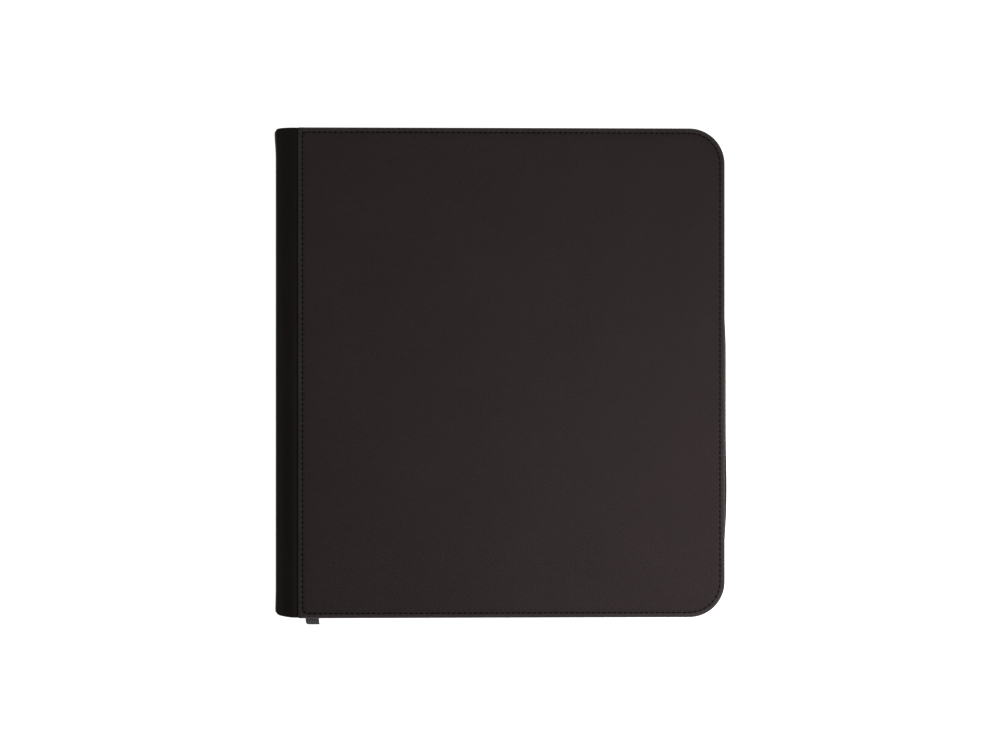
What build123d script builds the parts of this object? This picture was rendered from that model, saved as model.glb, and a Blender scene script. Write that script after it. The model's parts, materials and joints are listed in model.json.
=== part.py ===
"""Zip-up trading card binder, lying closed on its back cover.

Millimetres, +Z up. The origin is the middle of the back cover's outer face, the spine is
at -X and the zip runs round the other three sides. Back half and front half mirror each
other about the plane z = MID_Z, where the two rows of the zip meet.
"""
from build123d import *
import math
import os

# Whole binder
WIDTH = 335.0
HEIGHT = 366.0
THICKNESS = 38.0
CORNER_R = 26.5
SPINE_X = -WIDTH / 2
FREE_X = WIDTH / 2
HALF_HEIGHT = HEIGHT / 2
MID_Z = THICKNESS / 2

# Layers of one cover, from the outside in
SKIN = 0.8
FOAM = 1.0
BOARD = 1.8
LINING = 0.6
FOAM_Z = SKIN + FOAM
BOARD_Z = FOAM_Z + BOARD
COVER = BOARD_Z + LINING
PANEL_LEFT = SPINE_X + 16.5
BOARD_LEFT = PANEL_LEFT + 5.0
LINING_LEFT = SPINE_X + 5.5
HEM_R = 1.2

# Seam round the outside of each cover
SEAM_INSET = 3.6
SEAM_LEFT = PANEL_LEFT + 3.1
SEAM_WIDTH = 0.9
SEAM_DEPTH = 0.35
THREAD_WIDTH = 0.5
THREAD_HEIGHT = 0.3

# Spine and its creases
CREASE_X = SPINE_X + 2.0
SPINE_BOTTOM = 3.0
SPINE_LOW_Y = -178.5
SPINE_HIGH_Y = 181.6
SPINE_TURN_IN = 1.6
SPINE_BOARD = 2.0
SPINE_R = 1.6
STRIP_LEFT = SPINE_X + 4.0
STRIP_RIGHT = PANEL_LEFT + 4.5
STRIP_TOP = 2.0
STRIP_HALF = HALF_HEIGHT - SKIN

# Zip: two tapes on edge, each with a row of coil, set back under the covers' lips
LIP = 5.5
TAPE = 0.6
TAPE_TOP = 16.6
TAPE_LEFT = SPINE_X + 9.5
FLANGE = 8.0
COIL_DEPTH = 2.2
COIL_HEIGHT = 1.5
COIL_LEFT_TOP = SPINE_X + 12.5
COIL_LEFT_BOTTOM = SPINE_X + 47.0
WALL_INSET = LIP + TAPE / 2
WALL_Y = WALL_INSET - HALF_HEIGHT
STOP_LENGTH = 1.8
STOP_DEPTH = 3.0
STOP_DROP = 1.2

# Woven tab and patch that finish the zip beside the spine
TAB_LEFT = -146.0
TAB_RIGHT = -137.6
TAB_SLANT = 1.6
TAB_THICKNESS = 1.6
TAB_INNER_Y = -174.0
TAB_OUTER_Y = -187.3
TAB_R = 2.5
PATCH_LEFT = -148.0
PATCH_RIGHT = -135.5
PATCH_THICKNESS = 0.8
PATCH_BOTTOM = 8.0

# Slider and pull
SLIDER_X = -128.0
SLIDER_LENGTH = 12.0
SLIDER_WIDTH = 9.6
SLIDER_GAP = 2.7
SLIDER_PLATE = 1.2
SLIDER_SLOT = 1.2
SLIDER_LIP = 1.0
SLIDER_R = 2.0
POST_LENGTH = 5.0
POST_WIDTH = 1.0
BRIDGE_LENGTH = 9.0
BRIDGE_WIDTH = 2.4
BRIDGE_HEIGHT = 2.65
WINDOW_LENGTH = 5.0
WINDOW_HEIGHT = 1.75
PIN_R = 0.6
PIN_OFFSET = 0.9
ARM_GAP = 0.35
ARM_WIDTH = 1.2
ARM_LENGTH = 7.0
PULL_THICKNESS = 1.4
PULL_BLADE_START = 5.6
PULL_BLADE_END = 15.0
PULL_WIDTH = 7.0
TONGUE_END = 26.0
TONGUE_WIDTH = 3.6
TONGUE_THICKNESS = 0.8
GRIP_END = 34.0
GRIP_WIDTH = 8.0
GRIP_THICKNESS = 2.4

# Pages, each with a pocket grid on both faces, turning about one binding rod
PAGE_COUNT = 20
PAGE_PITCH = 1.4
PAGE_CORE = 0.3
PAGE_EDGE = 0.25
POCKET_FILM = 0.1
ROD_X = SPINE_X + 17.5
ROD_R = 6.2
ROD_LENGTH = 320.0
PAGE_ROOT_R = 6.6
PAGE_LEFT = ROD_X + 15.0
PAGE_RIGHT = 148.0
PAGE_HALF = 158.0
POCKET_COLUMNS = 4
POCKET_ROWS = 3
POCKET_WIDTH = 66.0
POCKET_HEIGHT = 97.0
POCKET_PITCH_X = 70.0
POCKET_PITCH_Y = 103.0
WEB = 2.0
WEB_TOP = 14.5
FOOT_WIDTH = 16.0
FOOT_HEIGHT = 0.8


def block(low, high):
    """Box between two opposite corners."""
    size = [b - a for a, b in zip(low, high)]
    middle = [(a + b) / 2 for a, b in zip(low, high)]
    return Pos(*middle) * Box(*size)


def plate(left, inset, bottom, top):
    """Flat plate with the cover's outline, set in from its three free sides."""
    reach = HALF_HEIGHT - inset
    flat = block((left, -reach, bottom), (FREE_X - inset, reach, top))
    corners = flat.edges().filter_by(Axis.Z).group_by(Axis.X)[-1]
    return fillet(corners, CORNER_R - inset)


def band(left, outer, inner, bottom, top):
    """Band along the three free sides, between two insets, open towards the spine."""
    return plate(left, outer, bottom, top) - plate(left - 1, inner, bottom - 1, top + 1)


def seam(width, bottom, top):
    """Closed band of the given width that follows the cover's seam."""
    half = width / 2
    outside = plate(SEAM_LEFT - half, SEAM_INSET - half, bottom, top)
    inside = plate(SEAM_LEFT + half, SEAM_INSET + half, bottom - 1, top + 1)
    return outside - inside


def front(shape):
    """The front half's copy of a back half's piece."""
    return mirror(shape, about=Plane.XY.offset(MID_Z))


def save(name, shape):
    export_step(shape, f"parts/{name}.step")


def cover_panel():
    """Outer skin of a cover: its face and the hem that turns up round the board."""
    tray = plate(PANEL_LEFT, 0, 0, COVER) - plate(PANEL_LEFT - 1, SKIN, SKIN, COVER + 1)
    rim = [e for e in tray.edges().group_by(Axis.Z)[0] if e.center().X > PANEL_LEFT + 1]
    return fillet(rim, HEM_R) - seam(SEAM_WIDTH, -1, SEAM_DEPTH)


def cover_pieces():
    """The layers of one cover, in its back place."""
    strip = block((STRIP_LEFT, -STRIP_HALF, SKIN), (STRIP_RIGHT, STRIP_HALF, STRIP_TOP))
    return {
        "panel": cover_panel(),
        "panel_thread": seam(THREAD_WIDTH, SEAM_DEPTH - THREAD_HEIGHT, SEAM_DEPTH),
        "padding": plate(BOARD_LEFT, SKIN, SKIN, FOAM_Z),
        "board": plate(BOARD_LEFT, SKIN, FOAM_Z, BOARD_Z),
        "lining": plate(LINING_LEFT, SKIN, BOARD_Z, COVER),
        "hinge_strip": strip,
    }


def zip_tape():
    """Tape standing on edge, with the flange that is sewn to the cover's lining."""
    wall = band(TAPE_LEFT, LIP, LIP + TAPE, COVER, TAPE_TOP)
    flange = band(TAPE_LEFT, LIP, LIP + FLANGE, COVER, COVER + TAPE)
    return wall + flange


def zip_coil():
    """One row of coil along the tape's edge; the parked slider's stretch has none."""
    outer = WALL_INSET - COIL_DEPTH / 2
    inner = WALL_INSET + COIL_DEPTH / 2
    row = band(COIL_LEFT_TOP, outer, inner, TAPE_TOP, TAPE_TOP + COIL_HEIGHT)
    bare = block((SPINE_X, -HALF_HEIGHT, 0), (COIL_LEFT_BOTTOM, 0, THICKNESS))
    return row - bare


def zip_stop():
    """Clip folded over the tape's edge where the coil ends beside the spine."""
    right = COIL_LEFT_TOP
    half = STOP_DEPTH / 2
    clip = block(
        (right - STOP_LENGTH, -WALL_Y - half, TAPE_TOP - STOP_DROP),
        (right, -WALL_Y + half, TAPE_TOP + COIL_HEIGHT),
    )
    return clip - band(TAPE_LEFT, LIP, LIP + TAPE, COVER, TAPE_TOP)


def zip_tail_tab():
    """Woven tab that slants out between the covers at the zip's closed end."""
    outline = Polygon(
        (TAB_LEFT, TAB_INNER_Y),
        (TAB_RIGHT, TAB_INNER_Y),
        (TAB_RIGHT + TAB_SLANT, TAB_OUTER_Y),
        (TAB_LEFT + TAB_SLANT, TAB_OUTER_Y),
        align=None,
    )
    bottom = Pos(0, 0, MID_Z - TAB_THICKNESS / 2) * outline
    tab = extrude(bottom, TAB_THICKNESS, dir=(0, 0, 1))
    upright = tab.edges().filter_by(Axis.Z)
    corner = upright.group_by(Axis.Y)[0].sort_by(Axis.X)[0]
    return fillet(corner, TAB_R)


def zip_end_patch():
    """Reinforcing patch behind the back tape, with the tab on its upper edge."""
    inside = WALL_Y + TAPE / 2
    return block(
        (PATCH_LEFT, inside, PATCH_BOTTOM),
        (PATCH_RIGHT, inside + PATCH_THICKNESS, MID_Z - TAB_THICKNESS / 2),
    )


def slider():
    """Slider: two plates joined by a post, lips that keep the coil, and a bridge."""
    half_length = SLIDER_LENGTH / 2
    half_width = SLIDER_WIDTH / 2
    half_gap = SLIDER_GAP / 2
    outer = half_gap + SLIDER_PLATE
    body = block((-half_length, -outer, -half_width), (half_length, outer, half_width))
    body = fillet(body.edges().filter_by(Axis.Y), SLIDER_R)
    inside = half_width - SLIDER_LIP
    body -= block((-half_length, -half_gap, -inside), (half_length, half_gap, inside))
    half_slot = SLIDER_SLOT / 2
    body -= block((-half_length, -half_slot, -half_width), (half_length, half_slot, half_width))
    post = block(
        (-half_length, -half_gap, -POST_WIDTH / 2),
        (POST_LENGTH - half_length, half_gap, POST_WIDTH / 2),
    )
    bridge = block(
        (-BRIDGE_LENGTH / 2, -outer - BRIDGE_HEIGHT, -BRIDGE_WIDTH / 2),
        (BRIDGE_LENGTH / 2, -outer, BRIDGE_WIDTH / 2),
    )
    ends = bridge.edges().filter_by(Axis.Z).group_by(Axis.Y)[0]
    bridge = fillet(ends, SLIDER_R)
    window = block(
        (-WINDOW_LENGTH / 2, -outer - WINDOW_HEIGHT, -BRIDGE_WIDTH),
        (WINDOW_LENGTH / 2, -outer, BRIDGE_WIDTH),
    )
    return Pos(SLIDER_X, WALL_Y, MID_Z) * (body + post + (bridge - window))


def pull_place():
    """The pin's axis through the slider's bridge."""
    outer = SLIDER_GAP / 2 + SLIDER_PLATE
    return Pos(SLIDER_X, WALL_Y - outer - PIN_OFFSET, MID_Z)


def tongue(length_from):
    return block(
        (length_from, -TONGUE_THICKNESS / 2, -TONGUE_WIDTH / 2),
        (TONGUE_END, TONGUE_THICKNESS / 2, TONGUE_WIDTH / 2),
    )


def pull_frame():
    """Metal pull: a pin with two arms, and a blade with a tongue inside the grip."""
    half = PULL_THICKNESS / 2
    inner = BRIDGE_WIDTH / 2 + ARM_GAP
    outer = inner + ARM_WIDTH
    frame = Cylinder(PIN_R, 2 * outer)
    for side in (-1, 1):
        near, far = sorted((side * inner, side * outer))
        frame += Pos(0, 0, (near + far) / 2) * Cylinder(half, ARM_WIDTH)
        frame += block((0, -half, near), (ARM_LENGTH, half, far))
    blade = block(
        (PULL_BLADE_START, -half, -PULL_WIDTH / 2),
        (PULL_BLADE_END, half, PULL_WIDTH / 2),
    )
    return pull_place() * (frame + blade + tongue(PULL_BLADE_END - 1))


def pull_grip():
    """Moulded grip on the pull's tongue."""
    half = GRIP_THICKNESS / 2
    grip = block((PULL_BLADE_END, -half, -GRIP_WIDTH / 2), (GRIP_END, half, GRIP_WIDTH / 2))
    grip = fillet(grip.edges().filter_by(Axis.Y).group_by(Axis.X)[-1], GRIP_WIDTH / 2 - 0.5)
    return pull_place() * (grip - tongue(PULL_BLADE_END))


def spine_pieces():
    """Stiff spine strip, shorter than its outer skin, with its lining."""
    top = THICKNESS - SPINE_BOTTOM
    skin = block((SPINE_X, SPINE_LOW_Y, SPINE_BOTTOM), (CREASE_X, SPINE_HIGH_Y, top))
    skin = fillet(skin.edges().filter_by(Axis.Y).group_by(Axis.X)[0], SPINE_R)
    inside = CREASE_X + SPINE_BOARD
    low_y = SPINE_LOW_Y + SPINE_TURN_IN
    high_y = SPINE_HIGH_Y - SPINE_TURN_IN
    trim = SPINE_BOTTOM + 1.5
    return {
        "spine_skin": skin,
        "spine_board": block((CREASE_X, low_y, SPINE_BOTTOM), (inside, high_y, top)),
        "spine_lining": block((inside, low_y, trim), (inside + LINING, high_y, THICKNESS - trim)),
    }


def binding_strip():
    """T-shaped strip that carries the binding rod on the back cover's lining."""
    foot_top = COVER + FOOT_HEIGHT
    half = ROD_LENGTH / 2
    foot = block(
        (ROD_X - FOOT_WIDTH / 2, -half, COVER), (ROD_X + FOOT_WIDTH / 2, half, foot_top)
    )
    web = block((ROD_X - WEB / 2, -half, foot_top), (ROD_X + WEB / 2, half, WEB_TOP))
    return foot + web


def binding_bar():
    """Rod that the pages are welded round, slotted on to the strip's web."""
    rod = Pos(ROD_X, 0, MID_Z) * Rot(90, 0, 0) * Cylinder(ROD_R, ROD_LENGTH)
    low = (ROD_X - WEB / 2, -ROD_LENGTH, 0)
    return rod - block(low, (ROD_X + WEB / 2, ROD_LENGTH, WEB_TOP))


def pocket_grid():
    """Blocks of pocket film, one for each card place, standing proud of both faces."""
    half_x = POCKET_WIDTH / 2
    half_y = POCKET_HEIGHT / 2
    half_z = PAGE_CORE / 2 + POCKET_FILM
    middle = (PAGE_LEFT + PAGE_RIGHT) / 2
    pockets = []
    for column in range(POCKET_COLUMNS):
        x = middle + (column - (POCKET_COLUMNS - 1) / 2) * POCKET_PITCH_X
        for row in range(POCKET_ROWS):
            y = (row - (POCKET_ROWS - 1) / 2) * POCKET_PITCH_Y
            pockets.append(block((x - half_x, y - half_y, -half_z), (x + half_x, y + half_y, half_z)))
    return pockets


def page(offset, pockets):
    """One page, offset from the rod's height, with its margin running in to the rod."""
    run = PAGE_LEFT - ROD_X
    length = math.hypot(run, offset)
    ahead = (run / length, offset / length)
    root = (PAGE_ROOT_R * ahead[0], PAGE_ROOT_R * ahead[1])
    side = (-ahead[1] * PAGE_EDGE / 2, ahead[0] * PAGE_EDGE / 2)
    half = PAGE_CORE / 2
    far = PAGE_RIGHT - ROD_X
    outline = Polygon(
        (root[0] - side[0], root[1] - side[1]),
        (run, offset - half),
        (far, offset - half),
        (far, offset + half),
        (run, offset + half),
        (root[0] + side[0], root[1] + side[1]),
        align=None,
    )
    profile = Plane.XZ.offset(PAGE_HALF) * outline
    sheet = Pos(ROD_X, 0, MID_Z) * extrude(profile, 2 * PAGE_HALF, dir=(0, 1, 0))
    lift = Pos(0, 0, MID_Z + offset)
    return sheet + [lift * pocket for pocket in pockets]


def main():
    os.makedirs("parts", exist_ok=True)
    for name, shape in cover_pieces().items():
        save(f"back_{name}", shape)
        save(f"front_{name}", front(shape))
    for name, shape in (("tape", zip_tape()), ("coil", zip_coil()), ("stop", zip_stop())):
        save(f"back_zip_{name}", shape)
        save(f"front_zip_{name}", front(shape))
    save("zip_tail_tab", zip_tail_tab())
    save("zip_end_patch", zip_end_patch())
    save("slider", slider())
    save("pull_frame", pull_frame())
    save("pull_grip", pull_grip())
    for name, shape in spine_pieces().items():
        save(name, shape)
    save("page_binding_strip", binding_strip())
    save("page_binding_bar", binding_bar())
    pockets = pocket_grid()
    for number in range(1, PAGE_COUNT + 1):
        offset = (number - (PAGE_COUNT + 1) / 2) * PAGE_PITCH
        save(f"page_{number:02d}", page(offset, pockets))


main()
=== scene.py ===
import json
import math

import bmesh
import bpy
import numpy as np
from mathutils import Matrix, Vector


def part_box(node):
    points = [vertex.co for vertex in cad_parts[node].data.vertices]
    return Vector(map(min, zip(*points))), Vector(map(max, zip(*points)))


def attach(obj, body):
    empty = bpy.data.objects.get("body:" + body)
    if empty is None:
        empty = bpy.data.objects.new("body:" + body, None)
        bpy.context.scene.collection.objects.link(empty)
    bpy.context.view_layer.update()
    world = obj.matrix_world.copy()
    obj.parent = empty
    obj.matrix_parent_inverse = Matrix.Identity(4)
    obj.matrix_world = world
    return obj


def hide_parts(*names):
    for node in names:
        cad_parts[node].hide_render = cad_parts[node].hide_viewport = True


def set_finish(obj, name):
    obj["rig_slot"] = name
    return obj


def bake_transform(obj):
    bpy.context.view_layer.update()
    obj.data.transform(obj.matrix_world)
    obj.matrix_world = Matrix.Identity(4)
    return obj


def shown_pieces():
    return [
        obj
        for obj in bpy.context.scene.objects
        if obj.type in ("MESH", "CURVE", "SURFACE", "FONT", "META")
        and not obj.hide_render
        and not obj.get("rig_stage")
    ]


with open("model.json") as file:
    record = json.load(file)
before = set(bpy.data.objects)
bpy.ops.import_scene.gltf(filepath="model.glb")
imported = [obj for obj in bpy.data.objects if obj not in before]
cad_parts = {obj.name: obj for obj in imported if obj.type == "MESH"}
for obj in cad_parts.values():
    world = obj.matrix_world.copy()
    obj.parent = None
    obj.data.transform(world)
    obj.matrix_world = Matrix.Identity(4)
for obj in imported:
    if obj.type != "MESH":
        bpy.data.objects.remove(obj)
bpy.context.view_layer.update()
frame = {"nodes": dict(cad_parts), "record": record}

MM = 0.001
RANDOM = np.random.default_rng(7)


# ---- sizes, from the frame
PANEL_LOW, PANEL_HIGH = (np.array(c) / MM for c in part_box("front_panel"))
SPINE_LOW, SPINE_HIGH = (np.array(c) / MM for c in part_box("spine_skin"))
TAPE_LOW, TAPE_HIGH = (np.array(c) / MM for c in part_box("back_zip_tape"))
COIL_LOW = np.array(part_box("back_zip_coil")[0]) / MM
LINING_LOW = np.array(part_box("back_lining")[0]) / MM
FOAM_LOW = np.array(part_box("back_padding")[0]) / MM
ROD_LOW, ROD_HIGH = (np.array(c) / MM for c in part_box("page_binding_bar"))
TAB_LOW, TAB_HIGH = (np.array(c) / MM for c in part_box("zip_tail_tab"))
SLIDER_HIGH = np.array(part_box("slider")[1]) / MM

# All in millimetres. LEFT is the panels' edge beside the spine, FREE the edge that opens.
LEFT = PANEL_LOW[0]
FREE = PANEL_HIGH[0]
HALF = PANEL_HIGH[1]
TOP = PANEL_HIGH[2]
MID = TOP / 2
SPINE = SPINE_LOW[0]
CREASE = SPINE_HIGH[0]
CORNER_R = 26.5
SEAM = 3.6
LEFT_SHARE = 3.1 / SEAM
WALL_INSET = FREE - TAPE_HIGH[0] + 0.3


# ---- mesh helpers
SHARP_ANGLE = math.radians(55)


def make_object(name, verts, faces):
    """Smooth mesh object from points in millimetres."""
    mesh = bpy.data.meshes.new(name)
    mesh.from_pydata((np.asarray(verts) * MM).tolist(), [], faces)
    mesh.validate()
    mesh.update()
    piece = bpy.data.objects.new(name, mesh)
    bpy.context.collection.objects.link(piece)
    mesh.polygons.foreach_set("use_smooth", [True] * len(mesh.polygons))
    return piece


def ring_faces(rings, around, wrap=True):
    """Quads between neighbouring rings of points, each with the same count."""
    faces = []
    across = around if wrap else around - 1
    for k in range(rings - 1):
        a = k * around
        b = a + around
        for i in range(across):
            j = (i + 1) % around
            faces.append((a + i, a + j, b + j, b + i))
    return faces


def face_out(piece):
    """Turns the faces of a closed mesh outwards."""
    work = bmesh.new()
    work.from_mesh(piece.data)
    bmesh.ops.recalc_face_normals(work, faces=work.faces)
    work.to_mesh(piece.data)
    work.free()
    return piece


def lofted(name, rings):
    """Closed mesh through rings of points; the end rings are capped."""
    rings = np.asarray(rings)
    count, around = rings.shape[:2]
    faces = ring_faces(count, around)
    faces.append(tuple(range(around))[::-1])
    faces.append(tuple(range((count - 1) * around, count * around)))
    piece = face_out(make_object(name, rings.reshape(-1, 3), faces))
    piece.data.set_sharp_from_angle(angle=SHARP_ANGLE)
    return piece


def set_attribute(piece, name, values):
    """Float on each point, for the material to read."""
    layer = piece.data.attributes.new(name, "FLOAT", "POINT")
    layer.data.foreach_set("value", np.asarray(values, np.float32))


def join(name, parts):
    """One piece from several (points, faces) lists."""
    verts = []
    faces = []
    start = 0
    for points, quads in parts:
        verts.append(points)
        faces += [tuple(start + i for i in q) for q in quads]
        start += len(points)
    return face_out(make_object(name, np.concatenate(verts), faces))


def smoothstep(t):
    """0 to 1 with a soft start and end."""
    t = np.clip(t, 0, 1)
    return t * t * (3 - 2 * t)


def directions(line):
    """Unit direction at each point of a line."""
    along = np.gradient(line, axis=0)
    return along / np.linalg.norm(along, axis=1)[:, None]


def normals_of(line):
    """Unit normals of a flat line, to the right of its direction."""
    along = directions(line)
    return np.column_stack((along[:, 1], -along[:, 0]))


def angles(count):
    """Even steps once round, in radians."""
    return np.linspace(0, 2 * math.pi, count, endpoint=False)


def squarish(wave, power):
    """A sine or cosine made squarer: the smaller the power, the squarer."""
    return np.sign(wave) * np.abs(wave) ** power


def tube(points, across, radius, sides):
    """(points, faces) of a tube; across is a direction never along the line."""
    points = np.asarray(points, float)
    along = directions(points)
    one = np.cross(along, across)
    one /= np.linalg.norm(one, axis=1)[:, None]
    two = np.cross(along, one)
    radius = np.broadcast_to(radius, len(points))[:, None, None]
    turn = angles(sides)
    ring = np.cos(turn)[None, :, None] * one[:, None] + np.sin(turn)[None, :, None] * two[:, None]
    verts = (points[:, None] + ring * radius).reshape(-1, 3)
    faces = ring_faces(len(points), sides)
    faces.append(tuple(range(sides))[::-1])
    faces.append(tuple(range(len(verts) - sides, len(verts))))
    return verts, faces


# ---- outlines
def arc(centre, radius, start, end, count):
    """Points on an arc in degrees, without the last one."""
    turn = np.radians(np.linspace(start, end, count, endpoint=False))
    return np.column_stack(
        (centre[0] + radius * np.cos(turn), centre[1] + radius * np.sin(turn))
    )


def straight(a, b, count):
    """Points on a straight line, without the last one."""
    share = np.linspace(0, 1, count, endpoint=False)[:, None]
    return np.array(a) + share * (np.array(b) - np.array(a))


END_POINTS = 96
SIDE_POINTS = 104
CORNER_POINTS = 18
SPINE_CORNER_POINTS = 6
LOW_CORNER_R = 1.6
HIGH_CORNER_R = 1.0
HEIGHT_AT_SPINE = 1.0020
HEIGHT_LOST = 0.0052


def outline(inset):
    """The cover's outline, set in and slightly lower towards the free side.

    Every inset gives the same count of points, in the same order."""
    left = LEFT + inset * LEFT_SHARE
    right = FREE - inset
    half = HALF - inset
    big = max(CORNER_R - inset, 0.5)
    low = LOW_CORNER_R + 0.5 * min(inset, 6)
    high = HIGH_CORNER_R
    line = np.concatenate(
        (
            straight((left + low, -half), (right - big, -half), END_POINTS),
            arc((right - big, -half + big), big, -90, 0, CORNER_POINTS),
            straight((right, -half + big), (right, half - big), SIDE_POINTS),
            arc((right - big, half - big), big, 0, 90, CORNER_POINTS),
            straight((right - big, half), (left + high, half), END_POINTS),
            arc((left + high, half - high), high, 90, 180, SPINE_CORNER_POINTS),
            straight((left, half - high), (left, -half + low), SIDE_POINTS),
            arc((left + low, -half + low), low, 180, 270, SPINE_CORNER_POINTS),
        )
    )
    line[:, 1] *= HEIGHT_AT_SPINE - HEIGHT_LOST * (line[:, 0] - LEFT) / (FREE - LEFT)
    return line


def free_side(inset, left_low, left_high, step=3.0):
    """Line round the three free sides, from the spine's lower end, and its outward normals."""
    right = FREE - inset
    half = HALF - inset
    big = CORNER_R - inset
    run_low = int((right - big - left_low) / step)
    run_high = int((right - big - left_high) / step)
    bend = max(int(big * math.pi / 2 / step), 12)
    line = np.concatenate(
        (
            straight((left_low, -half), (right - big, -half), run_low),
            arc((right - big, -half + big), big, -90, 0, bend),
            straight((right, -half + big), (right, half - big), int(2 * (half - big) / step)),
            arc((right - big, half - big), big, 0, 90, bend),
            straight((right - big, half), (left_high, half), run_high),
            [(left_high, half)],
        )
    )
    return line, normals_of(line)


def spaced(line, step, closed=False):
    """Points at an even step along a line."""
    if closed:
        line = np.vstack((line, line[:1]))
    gaps = np.linalg.norm(np.diff(line, axis=0), axis=1)
    run = np.concatenate(([0], np.cumsum(gaps)))
    count = int(round(run[-1] / step))
    at = np.linspace(0, run[-1], count, endpoint=not closed)
    return np.column_stack([np.interp(at, run, line[:, k]) for k in range(line.shape[1])])


def mirrored(points, front):
    """Points given as depth below the front face, placed on the front or the back."""
    points = np.array(points, float)
    depth = points[..., 2].copy()
    points[..., 2] = TOP - depth if front else depth
    return points


# ---- covers
# (inset, depth below the face) of the panel's rings: over the face and the hem, then back inside.
OUTER_PROFILE = [
    (24, 0.0), (18, 0.0), (13, 0.03), (9.5, 0.10), (7, 0.20), (5.6, 0.32), (4.8, 0.44),
    (4.3, 0.52), (3.95, 0.60), (3.6, 0.66), (3.25, 0.60), (2.9, 0.52), (2.4, 0.46),
    (1.8, 0.48), (1.2, 0.64), (0.7, 0.92), (0.32, 1.35), (0.08, 1.9), (0.0, 2.4),
    (0.08, 3.0), (0.35, 3.55), (0.8, 3.95), (1.5, 4.15), (3.0, 4.2), (6.0, 4.2), (8.8, 4.2),
]
INNER_PROFILE = [
    (9.1, 4.1), (9.1, 3.8), (8.8, 3.7), (5.0, 3.68), (1.6, 3.64), (1.0, 3.4), (0.85, 2.9),
    (0.85, 2.0), (1.1, 1.5), (1.8, 1.25), (3.0, 1.35), (3.6, 1.45), (4.6, 1.2), (7.0, 1.0),
    (13, 0.85), (24, 0.8),
]
CENTRE_SHARES = [0.0, 0.12, 0.24, 0.36, 0.48, 0.6, 0.7, 0.8, 0.88, 0.95]
# Rings that make the plain edge beside the spine, and its depths.
EDGE_START = 15
EDGE_TIP = 18
EDGE_END = 34
EDGE_TIP_DEPTH = 1.2
EDGE_DEPTH = 1.3
FOLD_GAP = 1.2
FOLD_GROWTH = 2.4
BULGE = 1.75
BULGE_MIDDLE = -42.0
BULGE_REACH = 58.0
BULGE_EASE = 50.0
BULGE_FADE = 8.0
LOBE = 0.6
LOBE_MIDDLE = -86.0
LOBE_WIDTH = 26.0
TOP_BULGE = 0.5
TOP_BULGE_X = 128.0
TOP_BULGE_WIDTH = 17.0
SETTLE_DEPTH = 0.09
HEM_START = 4.8
HEM_BLEND = 1.2
HEM_DEPTH = 3.0
GROOVE_WIDTH = 0.45
FACE_DEPTH = 0.08
PANEL_THICKNESS = 0.8


def free_weight(ring):
    """1 on the free sides, 0 beside the spine, where the panel has no turned hem."""
    return smoothstep((ring[:, 0] - LEFT - FOLD_GAP) / FOLD_GROWTH)


def lip_bulge(points, inset):
    """How the lower cover's lip stands out between its corners."""
    near = math.exp(-inset / BULGE_FADE)
    right = smoothstep((points[:, 0] - FREE + CORNER_R) / 10.0)
    middle = 1 - smoothstep((np.abs(points[:, 1] - BULGE_MIDDLE) - BULGE_REACH) / BULGE_EASE)
    lobe = np.exp(-(((points[:, 1] - LOBE_MIDDLE) / LOBE_WIDTH) ** 2))
    points[:, 0] += near * right * (BULGE * middle + LOBE * lobe)
    high = smoothstep((points[:, 1] - HALF + 14.0) / 10.0)
    rise = np.exp(-(((points[:, 0] - TOP_BULGE_X) / TOP_BULGE_WIDTH) ** 2))
    points[:, 1] += TOP_BULGE * near * high * rise
    return points


def spine_side_profile():
    """The same rings beside the spine: a thin rounded edge in place of the turned hem."""
    profile = np.array(OUTER_PROFILE + INNER_PROFILE)
    down = np.linspace(-1, 0, EDGE_TIP - EDGE_START + 1)
    under = np.linspace(0, 1, EDGE_END - EDGE_TIP + 1)[1:]
    above = (0.7 * down**2, EDGE_TIP_DEPTH + 0.28 * down)
    below = (1.1 * under**2, EDGE_TIP_DEPTH + (EDGE_DEPTH - EDGE_TIP_DEPTH) * np.sqrt(under))
    profile[EDGE_START : EDGE_TIP + 1] = np.column_stack(above)
    profile[EDGE_TIP + 1 : EDGE_END + 1] = np.column_stack(below)
    profile[:, 1] = np.minimum(profile[:, 1], EDGE_DEPTH)
    return profile


def cover_ring(free, spine, weight, front):
    """Ring through one (inset, depth) on the free sides and another beside the spine."""
    lines = [outline(free[0]), outline(spine[0])]
    if not front:
        lines = [lip_bulge(line, inset) for line, inset in zip(lines, (free[0], spine[0]))]
    share = weight[:, None]
    flat = lines[0] * share + lines[1] * (1 - share)
    deep = free[1] * weight + spine[1] * (1 - weight)
    return np.column_stack((flat, deep))


def settle(points):
    """Slow, slight unevenness of the padded face, in millimetres of depth."""
    x, y = points[:, 0] / 100, points[:, 1] / 100
    wave = np.sin(2.1 * x + 0.7) * np.sin(1.7 * y + 1.9) + 0.5 * np.sin(3.9 * x - 2.6 * y)
    return SETTLE_DEPTH * (1.5 + wave) / 2


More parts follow.
